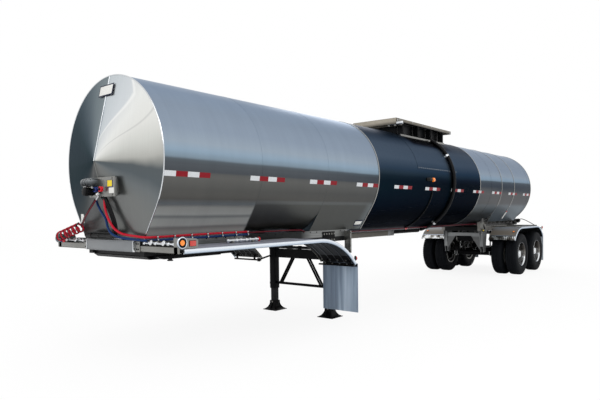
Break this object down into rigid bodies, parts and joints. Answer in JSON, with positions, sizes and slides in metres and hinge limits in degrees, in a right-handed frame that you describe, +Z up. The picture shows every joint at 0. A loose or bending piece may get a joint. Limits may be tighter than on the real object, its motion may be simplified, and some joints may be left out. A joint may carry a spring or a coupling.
{
  "type": "tank semi-trailer",
  "caption": "Insulated round tank semi-trailer with tandem twin wheels, landing legs, front mudguards, manway and upper coupler.",
  "frame": {"origin": "on the ground, under the middle of the overall length", "axes": "+X forward, +Y to the left, +Z up"},
  "size_m": [12.56, 2.44, 3.36],
  "materials": {
    "jacket": "stainless jacket with fine circumferential grain",
    "head_sheet": "stainless head sheets",
    "band_gloss": "dark blue-black gloss",
    "bright_trim": "bright bands",
    "bare_aluminium": "mill finish",
    "bright_steel": "bright stainless",
    "black_hose": "black hose",
    "red_fittings": "red fittings",
    "air_hose": "red, blue and black lines",
    "black_frame": "black paint",
    "dark_steel": "greased steel",
    "fender_sheet": "bright rolled sheet",
    "flap_rubber": "pale grey flaps",
    "tyre": "black tread rubber",
    "polished_rim": "polished",
    "lamp_lens": "amber and red lenses"
  },
  "bodies": {
    "trailer": {"tank_front": "jacket", "tank_band": "band_gloss", "tank_rear": "jacket", "front_head": "head_sheet", "rear_head": "head_sheet", "jacket_bands": "bright_trim", "spill_box": "bare_aluminium", "walkway": "bare_aluminium", "manway_neck": "bright_steel", "vent_valves": "bright_steel", "ladder": "bare_aluminium", "drain_hose": "black_hose", "valve_bracket": "bare_aluminium", "gladhands": "red_fittings", "air_lines": "air_hose", "coiled_line": "air_hose", "bumper": "bare_aluminium", "coupler_plate": "black_frame", "kingpin": "dark_steel", "front_frame": "black_frame", "front_fender_left": "fender_sheet", "front_fender_right": "fender_sheet", "mud_flaps": "flap_rubber", "landing_legs": "black_frame", "landing_feet": "black_frame", "leg_braces": "black_frame", "rear_frame": "bare_aluminium", "hangers": "bare_aluminium", "axles": "black_frame", "air_springs": "black_hose", "rear_fender_left": "fender_sheet", "rear_fender_right": "fender_sheet", "rear_bumper": "bare_aluminium", "lamps": "lamp_lens", "discharge_pipe": "bright_steel", "hose_tube": "bare_aluminium"},
    "manway_lid": {"manway_lid": "bright_steel"},
    "wheels_front_left": {"tyres_front_left": "tyre", "rims_front_left": "polished_rim"},
    "wheels_front_right": {"tyres_front_right": "tyre", "rims_front_right": "polished_rim"},
    "wheels_rear_left": {"tyres_rear_left": "tyre", "rims_rear_left": "polished_rim"},
    "wheels_rear_right": {"tyres_rear_right": "tyre", "rims_rear_right": "polished_rim"}
  },
  "joints": [
    {"name": "spin_front_left", "type": "hinge", "parent": "trailer", "child": "wheels_front_left", "pos_m": [-4.36, 0.9, 0.507], "axis": [0, 1, 0], "continuous": true},
    {"name": "spin_front_right", "type": "hinge", "parent": "trailer", "child": "wheels_front_right", "pos_m": [-4.36, -0.9, 0.507], "axis": [0, 1, 0], "continuous": true},
    {"name": "spin_rear_left", "type": "hinge", "parent": "trailer", "child": "wheels_rear_left", "pos_m": [-5.605, 0.9, 0.507], "axis": [0, 1, 0], "continuous": true},
    {"name": "spin_rear_right", "type": "hinge", "parent": "trailer", "child": "wheels_rear_right", "pos_m": [-5.605, -0.9, 0.507], "axis": [0, 1, 0], "continuous": true},
    {"name": "manway_lid_hinge", "type": "hinge", "parent": "trailer", "child": "manway_lid", "pos_m": [-0.66, 0, 3.322], "axis": [0, -1, 0], "range_deg": [0, 105]}
  ]
}
